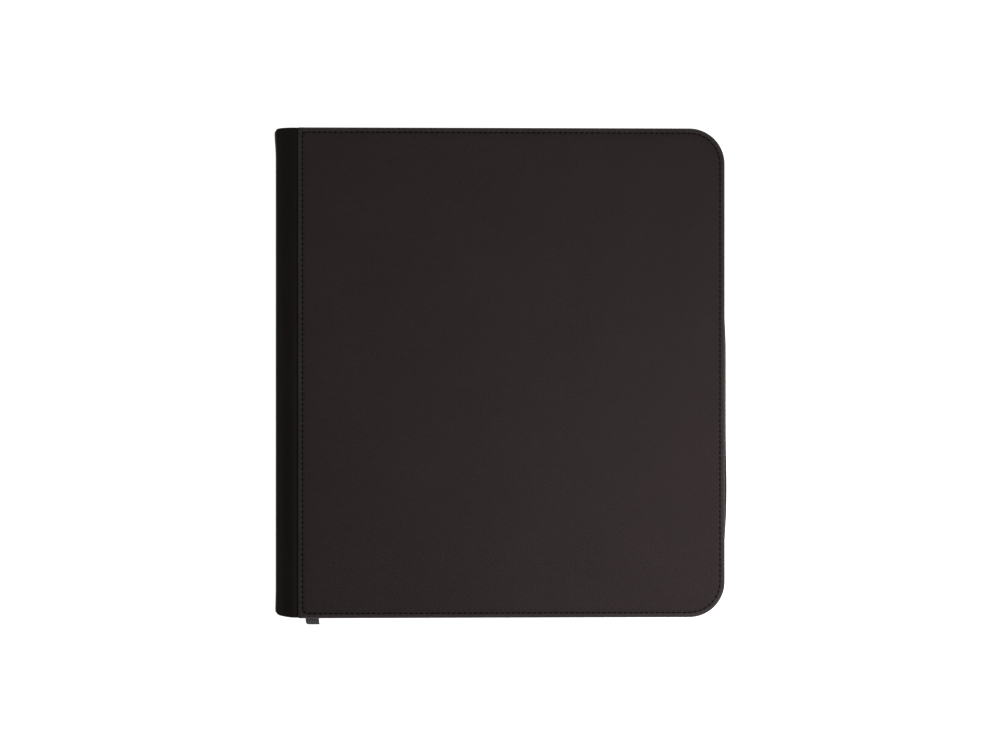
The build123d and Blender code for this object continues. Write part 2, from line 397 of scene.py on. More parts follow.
def cover_panel(side):
    """Textured panel: padded face, seam groove, rounded hem and the part turned in."""
    front = side == "front"
    weight = free_weight(outline(0))
    pairs = zip(OUTER_PROFILE + INNER_PROFILE, spine_side_profile())
    edge = [cover_ring(free, spine, weight, front) for free, spine in pairs]
    outer = edge[: len(OUTER_PROFILE)]
    inner = edge[len(OUTER_PROFILE) :]
    middle = np.array([(LEFT + FREE) / 2, 0.0])

    def towards_middle(ring, share):
        moved = ring.copy()
        moved[:, :2] += (middle - moved[:, :2]) * share
        return moved

    face = [towards_middle(outer[0], s) for s in CENTRE_SHARES[:0:-1]]
    back = [towards_middle(inner[-1], s) for s in CENTRE_SHARES[1:]]
    for ring in face + outer[:3]:
        ring[:, 2] += settle(ring)
    rings = np.array(face + outer + inner + back)
    around = rings.shape[1]
    verts = mirrored(rings.reshape(-1, 3), front)
    ends = mirrored(np.array([[*middle, FACE_DEPTH], [*middle, PANEL_THICKNESS]]), front)
    faces = ring_faces(len(rings), around)
    total = len(verts)
    last = total - around
    for i in range(around):
        j = (i + 1) % around
        faces.append((total, j, i))
        faces.append((total + 1, last + i, last + j))
    panel = face_out(make_object(f"{side}_cover_panel", np.vstack((verts, ends)), faces))
    hem = np.zeros(len(rings))
    # The groove mask marks the seam groove, whose colour the cover material darkens as painted
    # shade.
    groove = np.zeros(len(rings))
    start = len(face)
    for k, (inset, depth) in enumerate(OUTER_PROFILE):
        if depth < HEM_DEPTH:
            hem[start + k] = smoothstep((HEM_START - inset) / HEM_BLEND)
            groove[start + k] = math.exp(-(((inset - SEAM) / GROOVE_WIDTH) ** 2))
    for name, values in (("hem", hem), ("groove", groove)):
        set_attribute(panel, name, np.append(np.repeat(values, around), (0, 0)))
    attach(panel, f"{side}_cover")
    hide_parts(f"{side}_panel")
    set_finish(panel, "textured_cover")


# (inset, depth) of the folded hem's section beside the spine.
FOLD_PROFILE = [
    (1.3, 1.40), (0.5, 1.50), (0.12, 1.85), (0.0, 2.40), (0.08, 3.10), (0.35, 3.70), (1.0, 4.02),
    (2.2, 4.12), (9.3, 4.14), (9.3, 3.68), (2.0, 3.65), (1.1, 3.35), (0.85, 2.80), (0.85, 2.00),
]
FOLD_START = 0.5
FOLD_LENGTH = 16.0
FOLD_PINCH = 0.25
FOLD_TUCK = 0.3
FOLD_MIDDLE = 2.6
FOLD_HEM = 0.6


def corner_fold(side, end):
    """The hem folded in over the board's corner beside the spine; end is -1 low or 1 high."""
    profile = np.array(FOLD_PROFILE)
    rings = []
    rim = profile[:, 0] < 0.8
    for x in np.concatenate(([FOLD_START, 0.7, 1.0, 1.5], np.linspace(2.2, FOLD_LENGTH, 14))):
        pinch = FOLD_PINCH * max(1 - (x - FOLD_START) / 1.0, 0) ** 2
        tuck = FOLD_TUCK * smoothstep((x - 3.0) / 3.0)
        inset = profile[:, 0] + tuck * rim + pinch * rim
        depth = profile[:, 1] + pinch * (FOLD_MIDDLE - profile[:, 1])
        across = end * (HALF - inset)
        rings.append(np.column_stack((np.full(len(profile), LEFT + x), across, depth)))
    level = "low" if end < 0 else "high"
    fold = lofted(f"{side}_corner_fold_{level}", mirrored(np.array(rings), side == "front"))
    set_attribute(fold, "hem", np.full(len(fold.data.vertices), FOLD_HEM))
    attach(fold, f"{side}_cover")
    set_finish(fold, "textured_cover")


STITCH_PITCH = 4.0
STITCH_LENGTH = 2.5
STITCH_SLIP = 0.06
STITCH_BEND = 0.10
STITCH_DIP = 0.42
COVER_THREAD_R = 0.52
TAPE_THREAD_R = 0.22
THREAD_SIDES = 6
UP = np.array((0.0, 0.0, 1.0))


def stitches(name, line, depth, front, closed, radius):
    """Single stitches along a line, each dipping into the cloth at both ends."""
    marks = spaced(line, STITCH_PITCH, closed)
    steps = np.roll(marks, -1, axis=0) - marks
    if not closed:
        marks, steps = marks[:-1], steps[:-1]
    shape = np.linspace(-1, 1, 7)
    parts = []
    for mark, step in zip(marks, steps):
        run = step / np.linalg.norm(step)
        slip = RANDOM.normal(0, STITCH_SLIP, 2)
        middle = mark + step / 2 + slip[0] * run
        flat = middle + np.outer(shape * STITCH_LENGTH / 2, run)
        side = np.array((-run[1], run[0]))
        flat = flat + np.outer(shape * STITCH_BEND, side)
        dip = depth + STITCH_DIP * np.abs(shape) ** 3 + 0.03 * slip[1]
        points = mirrored(np.column_stack((flat, dip)), front)
        thick = radius * (1 - 0.35 * np.abs(shape) ** 4)
        parts.append(tube(points, UP, thick, THREAD_SIDES))
    return join(name, parts)


SEAM_DEPTH = 0.58


def cover_seam(side):
    """The seam all round a cover."""
    line = outline(SEAM)
    name = f"{side}_seam_stitches"
    seam = stitches(name, line, SEAM_DEPTH, side == "front", True, COVER_THREAD_R)
    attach(seam, f"{side}_cover")
    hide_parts(f"{side}_panel_thread")
    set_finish(seam, "cover_thread")


PAD_PROFILE = ((1.3, 1.5), (2.4, 1.3), (3.6, 1.42), (5.0, 1.15), (9, 0.95), (24, 0.84))
PAD_BASE = 1.79
PAD_MIDDLE = 0.4


def cover_padding(side):
    """Foam pad, crowned and thinner where the seam pulls it down."""
    front = side == "front"
    inner = FOAM_LOW[0]
    rings = []
    for inset, top in PAD_PROFILE:
        ring = outline(inset)
        ring[:, 0] = np.maximum(ring[:, 0], inner + 0.2 * inset)
        rings.append(np.column_stack((ring, np.full(len(ring), top))))
    base = rings[0].copy()
    base[:, 2] = PAD_BASE
    middle = rings[-1].copy()
    middle[:, :2] *= PAD_MIDDLE
    bottom = base.copy()
    bottom[:, :2] *= PAD_MIDDLE
    stack = mirrored(np.array([bottom, base] + rings + [middle]), front)
    pad = lofted(f"{side}_foam_pad", stack)
    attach(pad, f"{side}_cover")
    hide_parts(f"{side}_padding")
    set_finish(pad, "foam")


LINING_PROFILE = ((7.6, 4.0), (7.4, 4.22), (7.6, 4.32), (9.4, 4.3), (12, 4.24), (24, 4.22))
LINING_MIDDLE = 0.3


def cover_lining(side):
    """Woven lining stretched over the board, its edge under the turned hem."""
    front = side == "front"
    left = LINING_LOW[0] + 1.0
    rings = []
    for inset, depth in LINING_PROFILE:
        ring = outline(inset)
        x = ring[:, 0]
        ring[:, 0] = np.where(x < LEFT + 25, x - LEFT + left - inset * 0.8, x)
        rings.append(np.column_stack((ring, np.full(len(ring), depth))))
    top = rings[-1].copy()
    top[:, :2] *= LINING_MIDDLE
    under = rings[0].copy()
    under[:, :2] *= LINING_MIDDLE
    stack = mirrored(np.array([under] + rings + [top]), front)
    cloth = lofted(f"{side}_cloth_lining", stack)
    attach(cloth, f"{side}_cover")
    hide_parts(f"{side}_lining")
    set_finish(cloth, "lining_cloth")


# ---- spine
# (x, depth) of the spine's cover, from under the panel over the shoulder to half height.
WRAP_PROFILE = [
    (-146.9, 1.75), (-149.0, 1.75), (-150.6, 1.75), (-151.3, 1.80), (-152.0, 1.76),
    (-152.7, 1.66), (-153.5, 1.54), (-154.6, 1.42), (-156.0, 1.36), (-157.6, 1.42),
    (-159.2, 1.55), (-160.8, 1.66), (-162.2, 1.70), (-163.4, 1.62), (-164.4, 1.50),
    (-165.4, 1.38), (-166.2, 1.35), (-166.9, 1.55), (-167.4, 2.00), (-167.72, 2.70),
    (-167.86, 3.6), (-167.92, 5.6), (-167.98, 8.0), (-168.02, 12.0), (-168.06, 16.0),
    (-168.1, 19.0),
]
WRAP_THICKNESS = 0.95
WRAP_ROUNDING = 1.4
SHOULDER_X = -167.3
# Y, width and size of the flares near the cover's two ends.
FLARES = ((178, 9, 0.9), (-176, 8, 0.3))


def wrap_ends(x):
    """Lowest and highest Y of the spine's cover, whose ends round off towards the shoulder."""
    far = np.clip((LEFT - 1.0 - x) / (LEFT - 1.0 - SPINE), 0, 1)
    low = -(HALF - 0.1) + 2.7 * far**2.2 + 1.2 * far**20
    high = HALF + 0.2 - 1.3 * far**4 - 1.4 * far**24
    return low, high


def end_flare(y):
    """How far the spine's cover stands out near its turned-in ends."""
    return sum(size * np.exp(-(((y - middle) / width) ** 2)) for middle, width, size in FLARES)


def spine_wrap(side):
    """Smooth cover from under the panel, over the shoulder and half way up the spine."""
    front = side == "front"
    line = np.array(WRAP_PROFILE)
    inward = normals_of(line)
    low, high = wrap_ends(line[:, 0])
    rings = []
    near = np.array((0.0, 0.12, 0.35, 0.7, 1.1, 1.6, 2.4, 4.0, 8.0))
    body = np.linspace(12, 2 * HALF - 12, 60)
    spots = np.concatenate((near, body, 2 * HALF - near[::-1]))
    for spot in spots:
        share = spot / (2 * HALF)
        y = low + (high - low) * share
        edge = min(spot, 2 * HALF - spot)
        reach = max(WRAP_ROUNDING - edge, 0) / WRAP_ROUNDING
        sink = (1 - math.sqrt(max(1 - reach * reach, 0))) * (WRAP_THICKNESS - 0.15)
        outer = line + inward * sink
        inside = line + inward * WRAP_THICKNESS
        ring = np.vstack((outer, inside[::-1]))
        across = np.concatenate((y, y[::-1]))
        x = ring[:, 0] - end_flare(across) * smoothstep((-163.0 - ring[:, 0]) / 4)
        rings.append(np.column_stack((x, across, ring[:, 1])))
    wrap = lofted(f"spine_cover_{side}", mirrored(np.array(rings), front))
    # Painted highlight: a lighter colour along the rounded shoulder stands in for the light that
    # the shoulder catches.
    near_edge = np.exp(-(((line[:, 0] - SHOULDER_X) / 0.7) ** 2))
    near_edge *= smoothstep((5.0 - line[:, 1]) / 2.5)
    painted_shoulder_highlight = np.concatenate((near_edge, near_edge[::-1]))
    set_attribute(wrap, "painted_shoulder_highlight", np.tile(painted_shoulder_highlight, len(rings)))
    if front:
        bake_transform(wrap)
        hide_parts("front_hinge_strip")
    else:
        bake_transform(wrap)
        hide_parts("back_hinge_strip", "spine_skin")
    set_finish(wrap, "spine_cover")


TURNED_SIDES = 32
TURNED_REACH = 2.4
TURNED_OVER = 0.4


def spine_end(name, y_end, inwards):
    """The spine's cover turned in over the end of its board."""
    low = SPINE_LOW + np.array((0.35, 0, -TURNED_OVER))
    high = np.array((CREASE + 2.3, 0, SPINE_HIGH[2] + TURNED_OVER))
    turn = angles(TURNED_SIDES)
    round_x = squarish(np.cos(turn), 0.45)
    round_y = squarish(np.sin(turn), 0.8)
    half = TURNED_REACH / 2
    rings = []
    for share in np.linspace(0, 1, 40):
        tip = min(share, 1 - share) * (high[2] - low[2])
        shrink = 0.85 + 0.15 * math.sqrt(max(1 - max(1.0 - tip, 0) ** 2, 0))
        x = (low[0] + high[0]) / 2 + round_x * (high[0] - low[0]) / 2 * shrink
        pucker = 0.12 * math.sin(share * 31) + 0.08 * math.sin(share * 83 + 1)
        y = y_end + inwards * (half + round_y * (half + pucker) * shrink)
        z = low[2] + share * (high[2] - low[2])
        rings.append(np.column_stack((x, y, np.full(TURNED_SIDES, z))))
    end = lofted(name, np.array(rings))
    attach(end, "spine")
    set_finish(end, "spine_cover")


# (x from the strip's inner line, depth) of the lining across the crease.
STRIP_PROFILE = [
    (4.2, 4.30), (3.2, 4.32), (2.3, 4.5), (1.5, 4.9), (0.95, 5.5), (0.65, 6.4), (0.55, 7.6),
    (0.55, 9.0), (0.55, 12.0), (0.55, 15.5), (0.55, 19.0),
]
STRIP_THICKNESS = 0.4
STRIP_INSET = 2.4


def crease_lining(side):
    """Strip of lining across the crease on the inside, half way up the spine."""
    front = side == "front"
    inner = CREASE + 2.0
    line = np.array(STRIP_PROFILE) + np.array((inner, 0))
    under = line - normals_of(line) * STRIP_THICKNESS
    ring = np.vstack((line, under[::-1]))
    rings = []
    for y in np.linspace(-(HALF - STRIP_INSET), HALF - STRIP_INSET, 70):
        rings.append(np.column_stack((ring[:, 0], np.full(len(ring), y), ring[:, 1])))
    strip = lofted(f"crease_lining_{side}", mirrored(np.array(rings), front))
    if front:
        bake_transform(strip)
    else:
        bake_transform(strip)
        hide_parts("spine_lining")
    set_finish(strip, "lining_cloth")


# ---- zip
# (outward, depth) of a tape's section: sewn flange, bend and standing wall.
TAPE_PROFILE = [
    (-7.7, 4.32), (-0.9, 4.3), (-0.2, 4.4), (0.2, 4.8), (0.32, 5.8), (0.42, 8.0), (0.5, 11.0),
    (0.42, 14.0), (0.32, 16.2), (0.18, 16.6), (-0.18, 16.6), (-0.3, 16.2), (-0.2, 14.0),
    (-0.1, 11.0), (-0.16, 8.0), (-0.3, 6.0), (-0.55, 5.2), (-1.1, 4.88), (-7.7, 4.82),
]
TAPE_SEAM_INSET = 4.2
TAPE_SEAM_DEPTH = 4.85


def swept(name, line, normals, profile, front):
    """Section of (outward, depth) points drawn along a line round the free sides."""
    profile = np.array(profile)
    rings = []
    for point, normal in zip(line, normals):
        flat = point + np.outer(profile[:, 0], normal)
        rings.append(np.column_stack((flat, profile[:, 1])))
    return lofted(name, mirrored(np.array(rings), front))


def zip_tape(side):
    """Tape round the three free sides: a flange sewn to the lining and a standing wall."""
    front = side == "front"
    line, normals = free_side(WALL_INSET, TAPE_LOW[0], TAPE_LOW[0])
    tape = swept(f"{side}_zip_cloth", line, normals, TAPE_PROFILE, front)
    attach(tape, f"{side}_cover")
    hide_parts(f"{side}_zip_tape")
    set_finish(tape, "zip_tape")


def zip_seam(side):
    """Stitches that hold the tape's flange to the lining."""
    line = free_side(WALL_INSET + TAPE_SEAM_INSET, TAPE_LOW[0] + 2, TAPE_LOW[0] + 2)[0]
    name = f"{side}_tape_stitches"
    seam = stitches(name, line, TAPE_SEAM_DEPTH, side == "front", False, TAPE_THREAD_R)
    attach(seam, f"{side}_cover")
    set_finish(seam, "cover_thread")


COIL_PITCH = 1.7
COIL_STEPS = 9
COIL_HALF_WIDTH = 0.92
COIL_HALF_HEIGHT = 1.22
COIL_WIRE_R = 0.31
COIL_SIDES = 5


def zip_coil(side):
    """Nylon coil: one long flattened helix along the tape's edge."""
    front = side == "front"
    low_x = SLIDER_HIGH[0] + 1.5
    line = free_side(WALL_INSET, low_x, COIL_LOW[0], 1.0)[0]
    line = spaced(line, COIL_PITCH / COIL_STEPS)
    out = normals_of(line)
    turn = np.arange(len(line)) * 2 * math.pi / COIL_STEPS + (math.pi if front else 0)
    flat = line + out * (COIL_HALF_WIDTH * np.cos(turn))[:, None]
    height = COIL_HALF_HEIGHT * np.sin(turn)
    centre = COIL_LOW[2] + 1.0
    points = mirrored(np.column_stack((flat, centre + height)), front)
    across = np.column_stack((-out[:, 1], out[:, 0], np.zeros(len(out))))
    coil = join(f"{side}_zip_teeth", [tube(points, across, COIL_WIRE_R, COIL_SIDES)])
    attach(coil, f"{side}_cover")
    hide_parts(f"{side}_zip_coil")
    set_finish(coil, "zip_coil")


TAB_OVER = 1.1
TAB_SLANT = 1.6
TAB_SIDES = 28
TAB_RINGS = 90
TAB_RIBS = 15
TAB_LEFT_R = 1.9
TAB_RIGHT_R = 0.5
TAB_WIDER = (1.1, 0.7)


def corner_cut(rest, radius):
    """How far a round corner cuts in, at a distance from the end."""
    return radius - math.sqrt(max(radius**2 - max(radius - rest, 0) ** 2, 0))


def tail_tab():
    """Ribbed woven tab that slants out over the lower edge."""
    thick = TAB_HIGH[2] - TAB_LOW[2]
    width = TAB_HIGH[0] - TAB_LOW[0] - TAB_SLANT
    turn = angles(TAB_SIDES)
    flat = squarish(np.cos(turn), 0.35)
    tall = squarish(np.sin(turn), 0.6)
    rings = []
    for share in np.linspace(0, 1, TAB_RINGS):
        y = TAB_HIGH[1] + (TAB_LOW[1] - TAB_OVER - TAB_HIGH[1]) * share
        left = TAB_LOW[0] + TAB_SLANT * share
        rest = (1 - share) * (TAB_HIGH[1] - TAB_LOW[1] + TAB_OVER)
        low_x = left + corner_cut(rest, TAB_LEFT_R) - TAB_WIDER[0]
        high_x = left + width - corner_cut(rest, TAB_RIGHT_R) + TAB_WIDER[1]
        rib = 1 + 0.16 * math.sin(share * 2 * math.pi * TAB_RIBS)
        x = (low_x + high_x) / 2 + flat * (high_x - low_x) / 2
        z = (TAB_LOW[2] + TAB_HIGH[2]) / 2 + tall * thick / 2 * 0.86 * rib
        rings.append(np.column_stack((x, np.full(TAB_SIDES, y), z)))
    tab = lofted("tail_tab_webbing", np.array(rings))
    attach(tab, "back_cover")
    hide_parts("zip_tail_tab")
    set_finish(tab, "tab_webbing")


GRIP_SIDES = 28
GRIP_RINGS = 70
GRIP_RIBS = 14


def pull_grip():
    """Moulded grip with a waist and shallow ribs across it."""
    low, high = (np.array(c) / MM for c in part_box("pull_grip"))
    middle = (low + high) / 2
    half = (high - low) / 2
    turn = angles(GRIP_SIDES)
    round_y = squarish(np.cos(turn), 0.5)
    round_z = squarish(np.sin(turn), 0.5)
    rings = []
    for share in np.linspace(0, 1, GRIP_RINGS):
        end = min(share, 1 - share) * 2 * half[0]
        bevel = 1.3 if share < 0.5 else 3.4
        reach = max(bevel - end, 0) / bevel
        waist = 0.86 + 0.14 * math.cos(2 * math.pi * share)
        width = half[2] * waist * (0.45 + 0.55 * math.sqrt(max(1 - reach**2, 0)))
        thick = half[1] * (0.55 + 0.45 * math.sqrt(max(1 - min(reach * 1.2, 1) ** 2, 0)))
        if 0.22 < share < 0.82:
            thick *= 0.9 + 0.1 * math.cos(share * 2 * math.pi * GRIP_RIBS)
        x = np.full(GRIP_SIDES, low[0] + share * 2 * half[0])
        y = middle[1] + round_y * thick
        rings.append(np.column_stack((x, y, middle[2] + round_z * width)))
    grip = lofted("zip_pull_grip", np.array(rings))
    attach(grip, "pull")
    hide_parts("pull_grip")
    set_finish(grip, "pull_grip")


# ---- pages
POCKET_COLUMNS = 4
POCKET_ROWS = 3
POCKET_PITCH = (70.0, 103.0)
POCKET_SIZE = (66.0, 97.0)
PAGE_HALF_CORE = 0.15
FILM_RISE = 0.30
PAGE_MARGIN = 15.0
LEVEL_INSET = 0.25
WELD_STEPS = np.array((0, 0.5, 1.2, 2.2, 4, 9))


def pocket_lines(middle, count, pitch, size):
    """Grid lines across the pockets, close together at each weld."""
    lines = []
    for k in range(count):
        centre = middle + (k - (count - 1) / 2) * pitch
        low = centre - size / 2
        high = centre + size / 2
        lines += list(low + WELD_STEPS) + [centre - size / 6, centre + size / 6]
        lines += list(high - WELD_STEPS[::-1])
    return np.array(lines)


def film_height(x, y, middle_x):
    """How far the pocket film stands off the core: welded on three sides, open on top."""
    height = np.zeros(np.broadcast(x, y).shape)
    for column in range(POCKET_COLUMNS):
        centre = middle_x + (column - (POCKET_COLUMNS - 1) / 2) * POCKET_PITCH[0]
        in_x = POCKET_SIZE[0] / 2 - np.abs(x - centre)
        for row in range(POCKET_ROWS):
            level = (row - (POCKET_ROWS - 1) / 2) * POCKET_PITCH[1]
            low_y = y - (level - POCKET_SIZE[1] / 2)
            high_y = level + POCKET_SIZE[1] / 2 - y
            inside = (in_x >= 0) & (low_y >= 0) & (high_y >= 0)
            rise = smoothstep(in_x / 2.4) * smoothstep(low_y / 2.4) * smoothstep(high_y / 0.6)
            height = np.where(inside, np.maximum(height, rise), height)
    return height


def page_grid(left, right, top):
    """Places of the grid lines across and up a page's flat part, and its middle."""
    middle_x = (left + right) / 2
    across = pocket_lines(middle_x, POCKET_COLUMNS, POCKET_PITCH[0], POCKET_SIZE[0])
    up = pocket_lines(0.0, POCKET_ROWS, POCKET_PITCH[1], POCKET_SIZE[1])
    xs = np.concatenate(([left + 0.01], across, [right]))
    ys = np.concatenate(([-top], up, [top]))
    return np.unique(np.round(xs, 3)), np.unique(np.round(ys, 3)), middle_x


def page_margin(low, high, left, level):
    """Line of the flexible margin, from the rod up or down to the flat part's level."""
    root_z = low[2] + 0.1 if low[2] > MID else high[2] - 0.1
    if abs(level - MID) < 2:
        root_z = MID + (level - MID) * 0.44
    share = np.linspace(0, 1, 7)[:-1]
    x = low[0] + (left - low[0]) * share
    z = root_z + (level - root_z) * smoothstep(share * 0.55 + 0.45 * share**2)
    return x, z


def plate_faces(nx, ny):
    """Faces of a thin plate: an upper grid, a lower grid and the rim between them."""
    faces = ring_faces(nx, ny, wrap=False)
    shift = nx * ny
    faces += [tuple(shift + i for i in q) for q in faces]
    edge = [i * ny for i in range(nx)]
    edge += [(nx - 1) * ny + j for j in range(1, ny)]
    edge += [i * ny + ny - 1 for i in range(nx - 2, -1, -1)]
    edge += list(range(ny - 2, 0, -1))
    for a, b in zip(edge, edge[1:] + edge[:1]):
        faces.append((a, b, b + shift, a + shift))
    return faces


def page(number):
    """Pocket page: flexible margin welded round the rod, core and pocket film."""
    name = f"page_{number:02d}"
    low, high = (np.array(c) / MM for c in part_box(name))
    level = high[2] - LEVEL_INSET if low[2] > MID else low[2] + LEVEL_INSET
    left = (ROD_LOW[0] + ROD_HIGH[0]) / 2 + PAGE_MARGIN
    xs, ys, middle_x = page_grid(left, high[0], high[1])
    margin_x, margin_z = page_margin(low, high, left, level)
    base = np.concatenate((margin_z, np.full(len(xs), level)))[:, None]
    gx, gy = np.meshgrid(np.concatenate((margin_x, xs)), ys, indexing="ij")
    film = film_height(gx, gy, middle_x)
    film[: len(margin_x)] = 0
    ripple = 1 + 0.25 * np.sin(gx / 31 + number) * np.sin(gy / 43 + 2 * number)
    lift = PAGE_HALF_CORE + film * FILM_RISE * ripple
    above = np.stack((gx, gy, base + lift), axis=-1)
    below = np.stack((gx, gy, base - lift), axis=-1)
    verts = np.concatenate((above.reshape(-1, 3), below.reshape(-1, 3)))
    leaf = face_out(make_object(f"pocket_{name}", verts, plate_faces(*gx.shape)))
    set_attribute(leaf, "film", np.concatenate((film.ravel(), film.ravel())))
    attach(leaf, name)
    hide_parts(name)
    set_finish(leaf, "pocket_page")


# ---- materials
RANGE_INPUTS = ("From Min", "From Max", "To Min", "To Max")


class Shader:
    """Small helper that lays out one material's nodes."""

    def __init__(self, name, color, roughness, **inputs):
        self.material = bpy.data.materials.new(name)
        self.material.use_nodes = True
        self.tree = self.material.node_tree
        self.bsdf = self.tree.nodes["Principled BSDF"]
        self.bsdf.inputs["Base Color"].default_value = (*color, 1)
        self.bsdf.inputs["Roughness"].default_value = roughness
        for key, value in inputs.items():
            self.bsdf.inputs[key.replace("_", " ")].default_value = value
        self.place = self.tree.nodes.new("ShaderNodeTexCoord").outputs["Object"]

    def link(self, a, b):
        self.tree.links.new(a, b)

    def node(self, kind, **inputs):
        node = self.tree.nodes.new("ShaderNode" + kind)
        for key, value in inputs.items():
            node.inputs[key].default_value = value
        return node

    def stretch(self, scale):
        """The object's coordinates, scaled along each axis."""
        node = self.node("Mapping", Scale=scale)
        self.link(self.place, node.inputs["Vector"])
        return node.outputs["Vector"]

    def noise(self, scale, detail=3.0, rough=0.5, vector=None):
        node = self.node("TexNoise", Scale=scale, Detail=detail, Roughness=rough)
        self.link(vector or self.place, node.inputs["Vector"])
        return node.outputs["Fac"]

    def cells(self, scale):
        node = self.node("TexVoronoi", Scale=scale)
        self.link(self.place, node.inputs["Vector"])
        return node.outputs["Distance"]

    def math(self, kind, a, b=0.0, c=0.0):
        node = self.node("Math")
        node.operation = kind
        for slot, value in zip(node.inputs, (a, b, c)):
            if isinstance(value, (int, float)):
                slot.default_value = value
            else:
                self.link(value, slot)
        return node.outputs[0]

    def axis(self, which):
        node = self.node("SeparateXYZ")
        self.link(self.place, node.inputs[0])
        return node.outputs[which]

    def wave(self, value, period_mm):
        """Sine of a coordinate in metres, with the period in millimetres."""
        return self.math("SINE", self.math("MULTIPLY", value, 2 * math.pi / (period_mm * MM)))

    def attribute(self, name):
        node = self.node("Attribute")
        node.attribute_name = name
        return node.outputs["Fac"]

    def zero_to_one(self, value):
        """A value from -1 to 1, moved to 0 to 1."""
        return self.math("MULTIPLY_ADD", value, 0.5, 0.5)

    def spread(self, value, low, high, to_low, to_high):
        """A value mapped from one range to another and kept inside it."""
        node = self.node("MapRange")
        for key, number in zip(RANGE_INPUTS, (low, high, to_low, to_high)):
            node.inputs[key].default_value = number
        self.link(value, node.inputs["Value"])
        return node.outputs["Result"]

    def mix(self, factor, a, b):
        node = self.node("Mix")
        node.data_type = "RGBA"
        self.link(factor, node.inputs["Factor"])
        for slot, value in zip((node.inputs[6], node.inputs[7]), (a, b)):
            if isinstance(value, tuple):
                slot.default_value = (*value, 1)
            else:
                self.link(value, slot)
        return node.outputs[2]

    def color(self, output):
        self.link(output, self.bsdf.inputs["Base Color"])

    def roughness(self, output):
        self.link(output, self.bsdf.inputs["Roughness"])

    def bump(self, *layers):
        """Layers of (height 0 to 1, depth in millimetres)."""
        normal = None
        for height, depth in layers:
            node = self.node("Bump", Distance=depth * MM, Strength=1.0)
            self.link(height, node.inputs["Height"])
            if normal:
                self.link(normal, node.inputs["Normal"])
            normal = node.outputs["Normal"]
        self.link(normal, self.bsdf.inputs["Normal"])


def textured_cover():
    """Leatherette embossed with a fine basket weave, paler on the hem, with painted shade darkening
    the seam groove.
    """
    s = Shader("textured_cover", (0.027, 0.019, 0.019), 0.55, Specular_IOR_Level=0.16)
    s.bsdf.inputs["Specular Tint"].default_value = (1.0, 0.84, 0.84, 1)
    warp = s.math("MULTIPLY", s.math("SUBTRACT", s.noise(160, 2), 0.5), 0.0008)
    x = s.math("ADD", s.axis("X"), warp)
    y = s.math("ADD", s.axis("Y"), warp)
    knots = s.math("MULTIPLY", s.wave(x, 1.8), s.wave(y, 1.8))
    weave = s.zero_to_one(knots)
    threads = s.zero_to_one(s.math("MULTIPLY", s.wave(x, 0.45), s.wave(y, 0.45)))
    grain = s.noise(2600, 2)
    mottle = s.noise(22, 3)
    tone = s.math("MULTIPLY_ADD", weave, 0.84, s.math("MULTIPLY", mottle, 0.16))
    base = s.mix(tone, (0.0050, 0.0030, 0.0030), (0.0470, 0.0345, 0.0345))
    hem = s.math("MULTIPLY", s.attribute("hem"), s.spread(s.noise(35, 3), 0.35, 0.7, 0.5, 1.0))
    hemmed = s.mix(hem, base, (0.0400, 0.0330, 0.0325))
    # Painted shade: the seam groove's colour is pulled towards near black.
    painted_groove_shade = s.math("MULTIPLY", s.attribute("groove"), 0.8)
    s.color(s.mix(painted_groove_shade, hemmed, (0.0070, 0.0050, 0.0050)))
    matt = s.spread(mottle, 0.3, 0.7, 0.625, 0.655)
    s.roughness(s.math("MULTIPLY_ADD", weave, -0.14, matt))
    s.bump((weave, 0.30), (threads, 0.03), (grain, 0.03))
    return s.material


def spine_cover():
    """Smooth leatherette with pore-fine grain and faint stretch lines along the spine."""
    s = Shader("spine_cover", (0.008, 0.0065, 0.0055), 0.5, Specular_IOR_Level=0.13)
    pores = s.cells(900)
    grain = s.noise(1500, 3, 0.6)
    lines = s.noise(60, 4, 0.6, s.stretch((14, 1, 14)))
    leather = s.mix(s.noise(18, 3), (0.0062, 0.0046, 0.0038), (0.0100, 0.0078, 0.0066))
    # Painted highlight: the colour turns paler along the spine's shoulder, where the wrap's mask is
    # set.
    painted_shoulder_highlight = s.math("MULTIPLY", s.attribute("painted_shoulder_highlight"), s.spread(s.noise(40, 3), 0.3, 0.7, 0.5, 1.0))
    s.color(s.mix(painted_shoulder_highlight, leather, (0.050, 0.046, 0.043)))
    s.roughness(s.spread(lines, 0.3, 0.7, 0.46, 0.58))
    s.bump((pores, 0.03), (grain, 0.02), (lines, 0.03))
    return s.material


def thread():
    """Black twisted polyester thread."""
    s = Shader("cover_thread", (0.004, 0.004, 0.004), 0.7, Specular_IOR_Level=0.06)
    place = s.math("ADD", s.axis("X"), s.math("ADD", s.axis("Y"), s.axis("Z")))
    twist = s.zero_to_one(s.wave(place, 0.55))
    s.color(s.mix(twist, (0.0015, 0.0014, 0.0014), (0.0065, 0.006, 0.006)))
    s.roughness(s.spread(twist, 0, 1, 0.78, 0.6))
    s.bump((twist, 0.08))
    return s.material


def foam():
    """Closed-cell foam."""
    s = Shader("foam", (0.05, 0.05, 0.05), 0.9)
    bubbles = s.cells(1400)
    s.color(s.mix(bubbles, (0.025, 0.025, 0.026), (0.07, 0.07, 0.072)))
    s.roughness(s.spread(bubbles, 0, 0.6, 0.95, 0.8))
    s.bump((bubbles, 0.12))
    return s.material


def board():
    """Grey-brown binder's board with short fibres."""
    s = Shader("board", (0.32, 0.27, 0.20), 0.92)
    fibres = s.noise(420, 5, 0.65, s.stretch((1, 3, 6)))
    s.color(s.mix(fibres, (0.20, 0.165, 0.12), (0.40, 0.34, 0.26)))
    s.roughness(s.spread(fibres, 0.3, 0.7, 0.96, 0.86))
    s.bump((fibres, 0.08))
    return s.material


